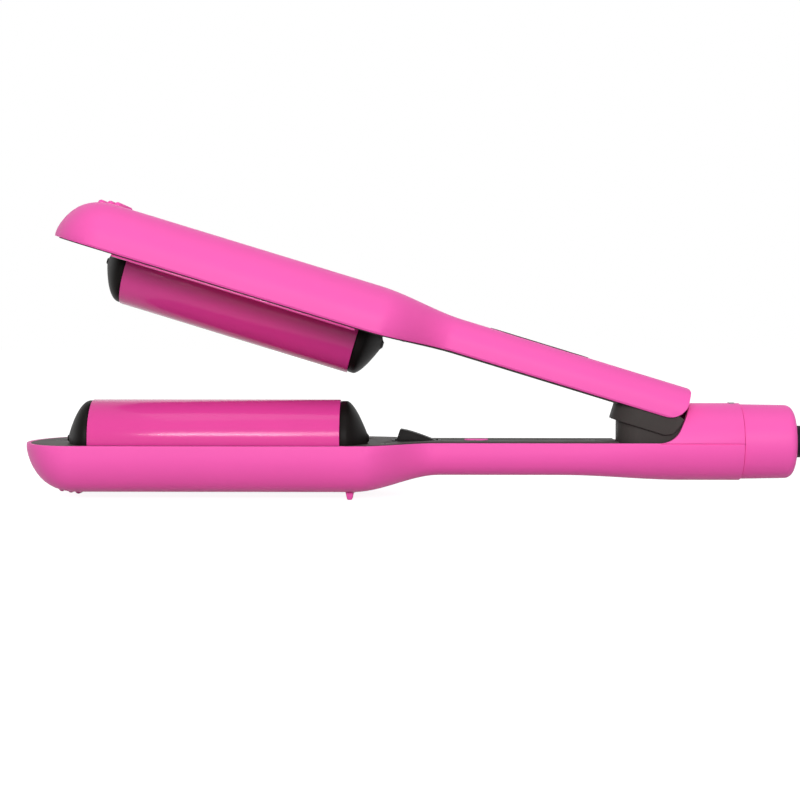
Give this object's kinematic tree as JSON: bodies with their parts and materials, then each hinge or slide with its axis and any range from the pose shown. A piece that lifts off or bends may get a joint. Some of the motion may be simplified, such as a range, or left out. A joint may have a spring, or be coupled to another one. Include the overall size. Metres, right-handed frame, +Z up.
{
  "type": "hair waver",
  "caption": "Hand-held hair waver: hinged sprung arms, each with a heated barrel beside a concave plate, a twist lock at the tail and a swivelling mains lead.",
  "frame": {"origin": "bottom centre of the tool without its cord: midway between tips and tail face, on the surface that the stand feet rest on", "axes": "+X along the arms from the tips to the tail, +Z up, +Y away from the viewer"},
  "size_m": [0.4664, 0.1222, 0.1241],
  "materials": {
    "pink_plastic": "glossy moulded, satin smooth",
    "pink_coating": "smooth glossy ceramic coating on metal",
    "black_plastic": "fine grained black moulding",
    "steel": "plain",
    "alloy": "extruded",
    "ceramic": "pale ceramic heater",
    "grey_mark": "printed mark",
    "board": "board laminate",
    "red_wire": "wire insulation",
    "white_plastic": "plain moulding",
    "cord_black": "soft dark sheath",
    "tie_grey": "woven strap"
  },
  "bodies": {
    "lower_arm": {"lower_shell": "pink_plastic", "lower_liner": "black_plastic", "lower_barrel": "pink_coating", "lower_heat_shoe": "alloy", "lower_heater": "ceramic", "lower_channel": "pink_coating", "lower_channel_heater": "ceramic", "lower_tip_cap": "black_plastic", "lower_heel_cap": "black_plastic", "lower_screws": "steel", "switch_frame": "black_plastic", "control_board": "board", "supply_leads": "red_wire", "collar_top": "pink_plastic", "index_mark": "grey_mark", "hinge_block": "black_plastic", "pivot_pin": "steel", "hinge_spring": "steel", "tail_frame": "black_plastic", "swivel_socket": "black_plastic", "cord_lead": "cord_black", "cord_coil": "cord_black", "cord_end": "cord_black", "coil_tie": "tie_grey", "plug": "cord_black"},
    "upper_arm": {"upper_shell": "pink_plastic", "upper_liner": "black_plastic", "upper_barrel": "pink_coating", "upper_heat_shoe": "alloy", "upper_heater": "ceramic", "upper_channel": "pink_coating", "upper_channel_heater": "ceramic", "upper_tip_cap": "black_plastic", "upper_heel_cap": "black_plastic", "upper_screws": "steel", "hinge_skirt": "black_plastic", "catch_tail": "black_plastic", "grip_inlay": "black_plastic"},
    "rocker": {"rocker": "black_plastic"},
    "mode_button": {"mode_button": "pink_plastic"},
    "lock_ring": {"lock_ring": "pink_plastic"},
    "lock_bolt": {"lock_bolt": "steel"},
    "cord_swivel": {"swivel_bush": "white_plastic", "strain_relief": "cord_black"}
  },
  "joints": [
    {"name": "arm_close", "type": "hinge", "parent": "lower_arm", "child": "upper_arm", "pos_m": [0.1142, 0, 0.0279], "axis": [0, -1, 0], "range_deg": [0, 17], "stiffness_Nm_per_rad": 1, "springref_deg": -40.11},
    {"name": "power_rocker", "type": "hinge", "parent": "lower_arm", "child": "rocker", "pos_m": [0.003, 0, 0.0231], "axis": [0, -1, 0], "range_deg": [0, 14]},
    {"name": "mode_press", "type": "slide", "parent": "lower_arm", "child": "mode_button", "axis": [0, 0, -1], "range_m": [0, 0.0008], "stiffness_N_per_m": 1500, "springref_m": -0.0003},
    {"name": "lock_twist", "type": "hinge", "parent": "lower_arm", "child": "lock_ring", "pos_m": [0.15, 0, 0.0231], "axis": [1, 0, 0], "range_deg": [0, 40]},
    {"name": "lock_slide", "type": "slide", "parent": "lower_arm", "child": "lock_bolt", "axis": [-1, 0, 0], "range_m": [0, 0.004]},
    {"name": "cord_turn", "type": "hinge", "parent": "lower_arm", "child": "cord_swivel", "pos_m": [0.155, 0, 0.0231], "axis": [1, 0, 0], "continuous": true}
  ],
  "couplings": [
    {"joint": "lock_slide", "follows": "lock_twist", "m_per_rad": 0.0057296}
  ]
}
